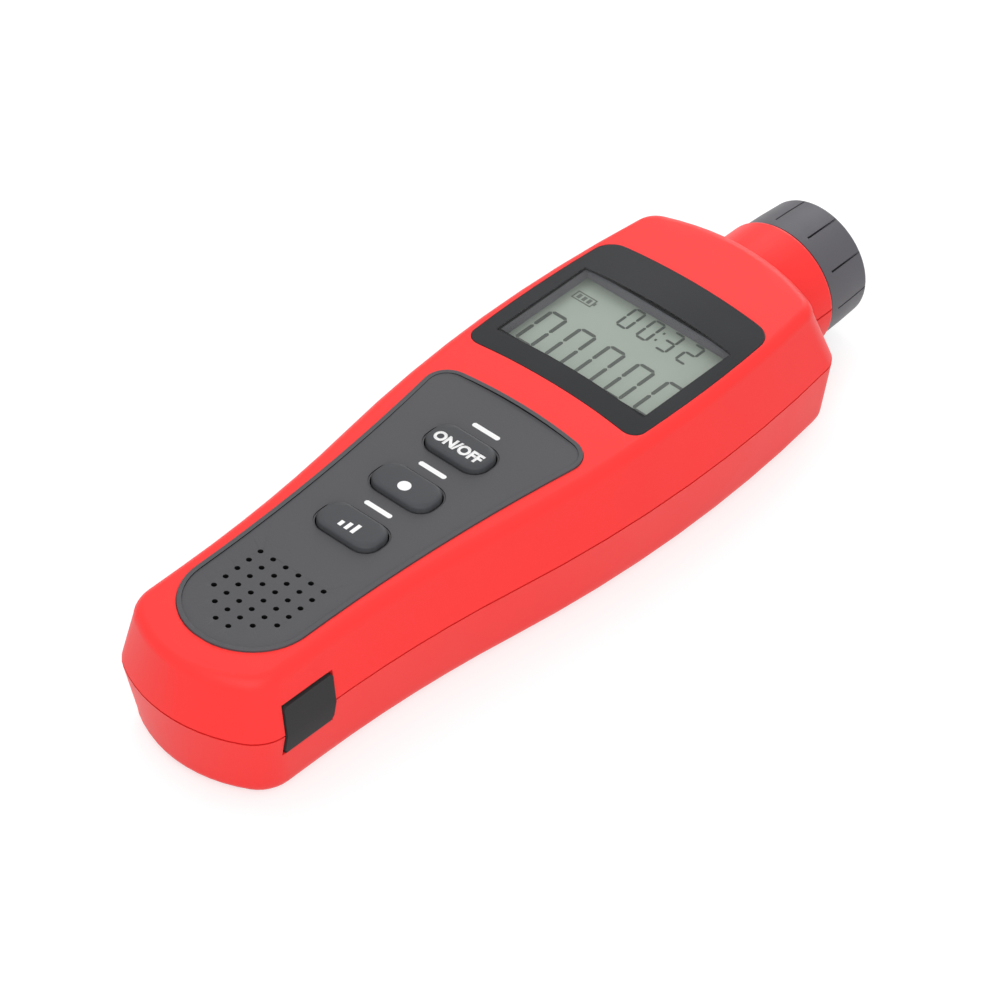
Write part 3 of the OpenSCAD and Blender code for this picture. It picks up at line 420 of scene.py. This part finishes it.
@dataclass
class SeamedShell(MouldedPiece):
    """A case half, with painted shade on the faces down in the seam: a darker red that stands in for the
    shade in the gap.
    """

    shade: Finish = PAINTED_SEAM_SHADE
    band: tuple[float, float] = (0.0, 16.3)

    def build(self, kit: ShaderKit) -> bpy.types.Object:
        """Gives the faces that lie within the seam's band the darker red of the painted seam shade.

        Args:
            kit: The shared node groups.

        Returns:
            The finished case half.
        """
        piece = super().build(kit)
        mesh = piece.data
        mesh.materials.append(self.shade.material(kit))
        low, high = (z * MM for z in self.band)
        # Painted shade: faces inside the seam's band get the darker red that stands in for the gap's shade.
        for face in mesh.polygons:
            if all(low <= mesh.vertices[v].co.z <= high for v in face.vertices):
                face.material_index = 1
        return piece


@dataclass
class RimmedPanel(MouldedPiece):
    """The keypad panel, with painted shade on the walls of its holes and on the steps inside its rim, where
    shade falls.
    """

    shade: Finish = PAINTED_STEP_SHADE
    axis_rows: tuple[float, float] = (-70.0, -5.0)
    inner_reach: float = 9.5

    WALL_LEAN = 0.5

    def build(self, kit: ShaderKit) -> bpy.types.Object:
        """Gives the walls of the holes and those that face the middle of the panel the near-black painted
        shade.

        Args:
            kit: The shared node groups.

        Returns:
            The finished panel.
        """
        piece = super().build(kit)
        mesh = piece.data
        mesh.materials.append(self.shade.material(kit))
        low, high = (y * MM for y in self.axis_rows)
        for face in mesh.polygons:
            x, y, _ = face.center
            away = Vector((x, y - min(max(y, low), high)))
            facing_in = face.normal.xy.dot(away) < 0 or away.length < self.inner_reach * MM
            # Painted shade: upright walls that face into the panel or lie near its middle get the
            # near-black finish.
            if abs(face.normal.z) < self.WALL_LEAN and facing_in:
                face.material_index = 1
        return piece


@dataclass
class BorderedWindow(MouldedPiece):
    """The display window, printed dark round a clear opening whose ends bow with the window's own."""

    ink: Finish = BORDER_INK
    half_w: float = 18.0
    rows: tuple[float, float] = (17.5, 43.1)
    bow: float = 1.0
    columns: int = 8

    def end(self, row: float, x: float) -> Vector:
        """Where an end of the opening lies at a place across.

        Args:
            row: The end's place along, in the middle, in millimetres.
            x: Place across, in millimetres.

        Returns:
            The point, in metres.
        """
        return Vector((x, row - self.bow * (x / self.half_w) ** 2, 0)) * MM

    def is_clear(self, middle: Vector) -> bool:
        """Whether a face with this middle lies in the opening."""
        low, high = (self.end(row, middle.x / MM).y for row in self.rows)
        return abs(middle.x) < self.half_w * MM and low < middle.y < high

    @staticmethod
    def cut(shape: bmesh.types.BMesh, point: Vector, normal: Vector, span: tuple[float, float]) -> None:
        """Cuts the faces of one span across along an upright plane.

        Args:
            shape: The window.
            point: A point on the plane.
            normal: The plane's normal.
            span: From where to where across the faces lie, in metres.
        """
        faces = [f for f in shape.faces if span[0] < f.calc_center_median().x < span[1]]
        geom = {part: None for f in faces for part in (*f.verts, *f.edges)}
        bmesh.ops.bisect_plane(shape, geom=[*geom, *faces], dist=1e-7, plane_co=point, plane_no=normal)

    def build(self, kit: ShaderKit) -> bpy.types.Object:
        """Cuts the faces along the opening and gives the outer ones the print.

        Args:
            kit: The shared node groups.

        Returns:
            The finished window.
        """
        piece = super().build(kit)
        mesh = piece.data
        mesh.materials.append(self.ink.material(kit))
        shape = bmesh.new()
        shape.from_mesh(mesh)
        step = 2 * self.half_w / self.columns
        sides = [-self.half_w + step * k for k in range(self.columns + 1)]
        for x in sides:
            self.cut(shape, Vector((x * MM, 0, 0)), Vector((1, 0, 0)), (-1.0, 1.0))
        for left, right in zip(sides, sides[1:]):
            for row in self.rows:
                start, chord = self.end(row, left), self.end(row, right) - self.end(row, left)
                self.cut(shape, start, Vector((-chord.y, chord.x, 0)).normalized(), (left * MM, right * MM))
        for face in shape.faces:
            face.material_index = 0 if self.is_clear(face.calc_center_median()) else 1
        shape.to_mesh(mesh)
        shape.free()
        return piece


@dataclass
class FrontFace:
    """Where the front face lies, for marks that are printed on it."""

    half_length: float = 92.0
    case_h: float = 30.7
    tail_drop: float = 1.1
    view_y: float = 109.6

    def keypad_matrix(self, y: float, lift: float) -> Matrix:
        """Placement of a flat mark on the tilted keypad.

        Args:
            y: Distance from the tail along the keypad, in millimetres.
            lift: Height above the panel's rim, in millimetres.

        Returns:
            The matrix from millimetres in the mark's plane to metres in the frame.
        """
        tilt = math.atan(self.tail_drop / self.view_y)
        base = Matrix.Translation(Vector((0, -self.half_length, self.case_h - self.tail_drop)))
        spot = Matrix.Translation(Vector((0, y, lift)))
        return Matrix.Scale(MM, 4) @ base @ Matrix.Rotation(tilt, 4, "X") @ spot

    def flat_matrix(self, z: float) -> Matrix:
        """Placement of a flat mark given from the tail, at a height.

        Args:
            z: Height above the back, in millimetres.

        Returns:
            The matrix from millimetres to metres in the frame.
        """
        return Matrix.Scale(MM, 4) @ Matrix.Translation(Vector((0, -self.half_length, z)))


class MarkSheet:
    """Flat printed marks collected in one mesh."""

    THICKNESS = 0.02
    BOLDNESS = 0.045
    WELD = 1e-5
    ROUND_STEPS = 32

    def __init__(self) -> None:
        """Starts an empty sheet."""
        self.shape = bmesh.new()

    def bar(self, x: float, y: float, width: float, length: float, point: float = 0.0) -> None:
        """Adds a straight stroke, square or with pointed ends.

        Args:
            x: Middle of the stroke across.
            y: Middle of the stroke along.
            width: Size across.
            length: Size along.
            point: How much its corners are cut off.
        """
        place = Matrix.Translation(Vector((x, y, 0))) @ Matrix.Diagonal(Vector((width, length, 1, 1)))
        made = bmesh.ops.create_grid(self.shape, x_segments=1, y_segments=1, size=0.5, matrix=place)
        if point:
            bmesh.ops.bevel(self.shape, geom=made["verts"], offset=point, affect="VERTICES", segments=1,
                            profile=0.5, material=-1, clamp_overlap=True)

    def disc(self, x: float, y: float, radius: float) -> None:
        """Adds a dot.

        Args:
            x: Middle across.
            y: Middle along.
            radius: Its radius.
        """
        place = Matrix.Translation(Vector((x, y, 0)))
        bmesh.ops.create_circle(self.shape, cap_ends=True, segments=self.ROUND_STEPS, radius=radius,
                                matrix=place)

    def words(self, text: str, width: float, height: float) -> None:
        """Adds a legend centred on the sheet's origin.

        Args:
            text: The legend.
            width: Its length across.
            height: Its size along.
        """
        curve = bpy.data.curves.new("legend", "FONT")
        curve.body = text
        curve.align_x = "CENTER"
        curve.align_y = "CENTER"
        curve.offset = self.BOLDNESS
        holder = bpy.data.objects.new("legend", curve)
        bpy.context.scene.collection.objects.link(holder)
        bpy.context.view_layer.update()
        flat = bpy.data.meshes.new_from_object(holder.evaluated_get(bpy.context.evaluated_depsgraph_get()))
        across = [v.co.x for v in flat.vertices]
        along = [v.co.y for v in flat.vertices]
        size = Vector((width / (max(across) - min(across)), height / (max(along) - min(along)), 1, 1))
        middle = Vector(((max(across) + min(across)) / 2, (max(along) + min(along)) / 2, 0))
        flat.transform(Matrix.Diagonal(size) @ Matrix.Translation(-middle))
        self.shape.from_mesh(flat)
        bpy.data.objects.remove(holder)
        bpy.data.curves.remove(curve)
        bpy.data.meshes.remove(flat)

    def mesh(self, name: str, place: Matrix) -> bpy.types.Mesh:
        """Gives the marks their thickness and puts them in place.

        Args:
            name: Name of the mesh.
            place: Where the sheet lies.

        Returns:
            The finished mesh.
        """
        bmesh.ops.remove_doubles(self.shape, verts=self.shape.verts, dist=self.WELD)
        bmesh.ops.recalc_face_normals(self.shape, faces=self.shape.faces)
        for face in self.shape.faces:
            if face.normal.z < 0:
                face.normal_flip()
        raised = bmesh.ops.extrude_face_region(self.shape, geom=self.shape.faces[:])
        top = [g for g in raised["geom"] if isinstance(g, bmesh.types.BMVert)]
        bmesh.ops.translate(self.shape, verts=top, vec=Vector((0, 0, self.THICKNESS)))
        bmesh.ops.recalc_face_normals(self.shape, faces=self.shape.faces)
        self.shape.transform(place)
        made = bpy.data.meshes.new(name)
        self.shape.to_mesh(made)
        self.shape.free()
        return made


class Segment(Enum):
    """The strokes of a seven-segment digit: place across, place along and whether it lies across."""

    TOP = (0.5, 1.0, True)
    UPPER_LEFT = (0.0, 0.75, False)
    UPPER_RIGHT = (1.0, 0.75, False)
    MIDDLE = (0.5, 0.5, True)
    LOWER_LEFT = (0.0, 0.25, False)
    LOWER_RIGHT = (1.0, 0.25, False)
    BOTTOM = (0.5, 0.0, True)


@dataclass
class Display:
    """Marks on the liquid-crystal face."""

    face: FrontFace
    glass_z: float = 27.37
    large_left: tuple[float, ...] = (-16.2, -9.0, -1.8, 5.4, 12.6)
    large_w: float = 4.5
    large_y: tuple[float, float] = (111.3, 122.7)
    large_stroke: float = 0.8
    small_left: tuple[float, ...] = (-5.2, -0.4, 4.4, 9.3)
    small_w: float = 2.9
    small_y: tuple[float, float] = (127.8, 134.4)
    small_stroke: float = 0.58
    small_digits: str = "0032"
    colon_y: tuple[float, float] = (129.7, 132.2)
    colon_size: tuple[float, float] = (0.45, 0.6)
    cell_sign: tuple[float, float, float, float] = (-13.9, 129.4, 4.4, 2.2)
    cell_line: float = 0.28
    cell_tip: tuple[float, float] = (0.35, 0.4)
    cell_tip_share: float = 0.4
    cell_bar_pitch_share: float = 0.27
    cell_bar_shares: tuple[float, float] = (0.17, 0.6)

    GAP_SHARE = 0.3
    POINT_SHARE = 0.45
    DIGITS = {
        "0": "TOP UPPER_LEFT UPPER_RIGHT LOWER_LEFT LOWER_RIGHT BOTTOM",
        "2": "TOP UPPER_RIGHT MIDDLE LOWER_LEFT BOTTOM",
        "3": "TOP UPPER_RIGHT MIDDLE LOWER_RIGHT BOTTOM",
    }

    def digit(self, sheet: MarkSheet, value: str, left: float, width: float, rows: tuple[float, float],
              stroke: float) -> None:
        """Draws one digit from its strokes.

        Args:
            sheet: The sheet it is drawn on.
            value: The digit.
            left: Where it starts across.
            width: Its width.
            rows: Its lowest and highest place along.
            stroke: Thickness of a stroke.
        """
        low, high = rows
        gap, point = stroke * self.GAP_SHARE, stroke * self.POINT_SHARE
        run, rise = width - stroke, high - low - stroke
        for name in self.DIGITS[value].split():
            across, along, lies = Segment[name].value
            x = left + stroke / 2 + run * across
            y = low + stroke / 2 + rise * along
            if lies:
                sheet.bar(x, y, run - gap, stroke, point)
            else:
                sheet.bar(x, y, stroke, rise / 2 - gap, point)

    def reading(self) -> MarkSheet:
        """Draws the large digits.

        Returns:
            Their sheet.
        """
        sheet = MarkSheet()
        for left in self.large_left:
            self.digit(sheet, "0", left, self.large_w, self.large_y, self.large_stroke)
        return sheet

    def clock(self) -> MarkSheet:
        """Draws the small digits and the colon between them.

        Returns:
            Their sheet.
        """
        sheet = MarkSheet()
        for left, value in zip(self.small_left, self.small_digits):
            self.digit(sheet, value, left, self.small_w, self.small_y, self.small_stroke)
        middle = (self.small_left[1] + self.small_w + self.small_left[2]) / 2
        for y in self.colon_y:
            sheet.bar(middle, y, *self.colon_size)
        return sheet

    def cell(self) -> MarkSheet:
        """Draws the battery sign: an outline with a tip and three filled bars.

        Returns:
            Its sheet.
        """
        sheet = MarkSheet()
        x, y, width, height = self.cell_sign
        line = self.cell_line
        for side in (-1, 1):
            sheet.bar(x, y + side * height / 2, width + line, line)
            sheet.bar(x + side * width / 2, y, line, height)
        gap, tip_w = self.cell_tip
        sheet.bar(x + width / 2 + gap, y, tip_w, height * self.cell_tip_share)
        wide, tall = self.cell_bar_shares
        for k in (-1, 0, 1):
            sheet.bar(x + k * width * self.cell_bar_pitch_share, y, width * wide, height * tall)
        return sheet

    def build(self, kit: ShaderKit) -> None:
        """Makes the reading, the clock and the battery sign.

        Args:
            kit: The shared node groups.
        """
        place = self.face.flat_matrix(self.glass_z)
        marks = {
            "display_reading": (self.reading(), LCD_INK),
            "display_clock": (self.clock(), LCD_INK),
            "display_cell_sign": (self.cell(), LCD_FAINT),
        }
        for name, (sheet, ink) in marks.items():
            new_piece(name, sheet.mesh(name, place), Part.CASE, ink.material(kit))


@dataclass
class Legends:
    """White marks on the keys and beside them."""

    face: FrontFace
    key_y: float = 48.23
    key_pitch: float = 14.85
    key_top: float = 1.15
    panel_floor: float = -0.05
    legend_set: float = -0.7
    label_gap: float = 7.1
    lift: float = 0.005
    words_size: tuple[float, float] = (11.2, 2.7)
    dot_r: float = 1.3
    bar_heights: tuple[float, ...] = (1.4, 2.0, 2.6)
    bar_w: float = 0.8
    bar_pitch: float = 1.5
    label_size: tuple[float, float] = (6.4, 1.1)
    label_point: float = 0.3

    def place(self, index: int) -> Matrix:
        """Where the marks of a key lie, counted from the tail."""
        y = self.key_y + index * self.key_pitch + self.legend_set
        return self.face.keypad_matrix(y, self.key_top + self.lift)

    def rising_bars(self) -> MarkSheet:
        """Draws bars of growing height on one foot line.

        Returns:
            Their sheet.
        """
        sheet = MarkSheet()
        tallest = max(self.bar_heights)
        for k, height in enumerate(self.bar_heights):
            sheet.bar((k - 1) * self.bar_pitch, (height - tallest) / 2, self.bar_w, height)
        return sheet

    def build(self, kit: ShaderKit) -> None:
        """Makes a legend for each key and a label bar above it.

        Args:
            kit: The shared node groups.
        """
        white = KEY_WHITE.material(kit)
        power = MarkSheet()
        power.words("ON/OFF", *self.words_size)
        record = MarkSheet()
        record.disc(0, 0, self.dot_r)
        keys = {Part.POWER: (2, power), Part.RECORD: (1, record), Part.MODE: (0, self.rising_bars())}
        for body, (index, sheet) in keys.items():
            name = body.value.replace("_key", "_legend")
            new_piece(name, sheet.mesh(name, self.place(index)), body, white)
        for index, key in enumerate(("mode", "record", "power")):
            label = MarkSheet()
            label.bar(0, 0, *self.label_size, self.label_point)
            y = self.key_y + index * self.key_pitch + self.label_gap
            place = self.face.keypad_matrix(y, self.panel_floor + self.lift)
            new_piece(f"{key}_label", label.mesh(f"{key}_label", place), Part.CASE, white)


@dataclass(frozen=True)
class Softbox:
    """A soft square lamp that faces the object, placed in metres and rated in watts."""

    name: str
    place: tuple[float, float, float]
    size: float
    power: float

    def hang(self) -> None:
        """Puts the lamp in the scene, unseen through glass."""
        light = bpy.data.lights.new(self.name, "AREA")
        light.shape = "SQUARE"
        light.size = self.size
        light.energy = self.power
        made = bpy.data.objects.new(self.name, light)
        bpy.context.scene.collection.objects.link(made)
        made.location = self.place
        made.rotation_euler = (-Vector(self.place)).to_track_quat("-Z", "Y").to_euler()
        made.visible_transmission = False


@dataclass
class Studio:
    """Floor, light and camera."""

    azimuth: float = 38.521
    elevation: float = 41.365
    roll: float = 4.012
    focal_px: float = 6500.0
    image_px: float = 990.0
    sensor: float = 36.0
    distance: float = 1208.822
    aim: tuple[float, float, float] = (0.0, 0.0, 17.0)
    aside: tuple[float, float] = (2.249, 4.908)
    near_m: float = 0.01
    sky_strength: float = 0.68
    floor_grey: float = 0.5
    floor_glow: float = 0.6
    floor_roughness: float = 0.9
    floor_half: float = 6.0
    floor_z: float = -0.0002
    lamps: tuple[Softbox, ...] = (
        Softbox("key_softbox", (1.15, -1.2, 1.05), 2.0, 23.0),
        Softbox("top_softbox", (-0.8, -0.1, 1.5), 1.2, 5.0),
        Softbox("head_softbox", (-0.7, 1.7, 0.75), 1.0, 10.0),
    )

    def camera(self) -> None:
        """Places the camera at the photograph's angle."""
        turn, lift, roll = (math.radians(a) for a in (self.azimuth, self.elevation, self.roll))
        right = Vector((math.cos(turn), math.sin(turn), 0))
        up = Vector((-math.sin(turn) * math.sin(lift), math.cos(turn) * math.sin(lift), math.cos(lift)))
        back = right.cross(up)
        level, upright = right, up
        right = level * math.cos(roll) + upright * math.sin(roll)
        up = upright * math.cos(roll) - level * math.sin(roll)
        eye = Vector(self.aim) + back * self.distance - right * self.aside[0] - up * self.aside[1]
        lens = bpy.data.cameras.new("camera")
        lens.sensor_width = self.sensor
        lens.lens = self.sensor * self.focal_px / self.image_px
        lens.clip_start = self.near_m
        made = bpy.data.objects.new("camera", lens)
        bpy.context.scene.collection.objects.link(made)
        turned = Matrix((right, up, back)).transposed().to_4x4()
        made.matrix_world = Matrix.Translation(eye * MM) @ turned
        bpy.context.scene.camera = made

    def floor(self) -> None:
        """Lays the plain pale floor, white to the camera and shaded under the object."""
        shape = bmesh.new()
        bmesh.ops.create_grid(shape, x_segments=1, y_segments=1, size=self.floor_half,
                              matrix=Matrix.Translation(Vector((0, 0, self.floor_z))))
        mesh = bpy.data.meshes.new("floor")
        shape.to_mesh(mesh)
        shape.free()
        made = bpy.data.objects.new("floor", mesh)
        bpy.context.scene.collection.objects.link(made)
        pale = bpy.data.materials.new("floor_pale")
        pale.use_nodes = True
        nodes, links = pale.node_tree.nodes, pale.node_tree.links
        shader = nodes["Principled BSDF"]
        grey = self.floor_grey
        shader.inputs["Base Color"].default_value = (grey, grey, grey, 1)
        shader.inputs["Roughness"].default_value = self.floor_roughness
        ray = nodes.new("ShaderNodeLightPath")
        mirrored = nodes.new("ShaderNodeMath")
        mirrored.operation = "MAXIMUM"
        links.new(ray.outputs["Is Glossy Ray"], mirrored.inputs[0])
        links.new(ray.outputs["Is Transmission Ray"], mirrored.inputs[1])
        shown = nodes.new("ShaderNodeMath")
        shown.operation = "MAXIMUM"
        links.new(ray.outputs["Is Camera Ray"], shown.inputs[0])
        links.new(mirrored.outputs["Value"], shown.inputs[1])
        seen = nodes.new("ShaderNodeMath")
        seen.operation = "MULTIPLY"
        seen.inputs[1].default_value = self.floor_glow
        links.new(shown.outputs["Value"], seen.inputs[0])
        links.new(seen.outputs["Value"], shader.inputs["Emission Strength"])
        shader.inputs["Emission Color"].default_value = (1, 1, 1, 1)
        mesh.materials.append(pale)

    def world(self) -> None:
        """Lights the room evenly from all sides."""
        sky = bpy.data.worlds.new("studio")
        bpy.context.scene.world = sky
        sky.use_nodes = True
        sky.node_tree.nodes["Background"].inputs["Color"].default_value = (1, 1, 1, 1)
        sky.node_tree.nodes["Background"].inputs["Strength"].default_value = self.sky_strength

    def build(self) -> None:
        """Sets up the whole studio."""
        bpy.context.scene.view_settings.view_transform = "Standard"
        self.world()
        self.floor()
        self.camera()
        for lamp in self.lamps:
            lamp.hang()


def dress_inside(kit: ShaderKit) -> None:
    """Gives the nodes that stay as they are their finishes.

    Args:
        kit: The shared node groups.
    """
    for name, finish in NODE_FINISH.items():
        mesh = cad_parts[name].data
        mesh.materials.clear()
        mesh.materials.append(finish.material(kit))
        LOG.info("%s: finished as %s", name, finish.name)


def shells() -> list[MouldedPiece]:
    """Lists the solids that get a smooth skin.

    Returns:
        The pieces in building order.
    """
    case = Part.CASE
    return [
        SeamedShell("front_case", case, "case_red", CASE_RED, 0.14),
        SeamedShell("rear_case", case, "case_red", CASE_RED, 0.14, band=(15.7, 30.0)),
        MouldedPiece("battery_door", Part.DOOR, "case_red", CASE_RED, 0.2),
        RimmedPanel("keypad_panel", case, "panel_grey", PANEL_GREY, 0.1),
        MouldedPiece("power_key", Part.POWER, "key_grey", KEY_GREY, 0.0, 50.0),
        MouldedPiece("record_key", Part.RECORD, "key_grey", KEY_GREY, 0.0, 50.0),
        MouldedPiece("mode_key", Part.MODE, "key_grey", KEY_GREY, 0.0, 50.0),
        MouldedPiece("lens_hood", case, "dark_grey", HOOD_GREY, 0.12),
        MouldedPiece("usb_cover", Part.COVER, "cover_rubber", COVER_RUBBER, 0.25),
        BorderedWindow("display_window", case, "clear_window", CLEAR_WINDOW, 0.2),
        MouldedPiece("front_lens", case, "lens_clear", LENS_CLEAR, 0.0),
    ]


def main() -> None:
    """Builds the studio and dresses every piece."""
    logging.basicConfig(level=logging.INFO)
    kit = ShaderKit()
    face = FrontFace()
    Studio().build()
    dress_inside(kit)
    for piece in shells():
        piece.build(kit)
    Display(face).build(kit)
    Legends(face).build(kit)


if __name__ == "__main__":
    main()
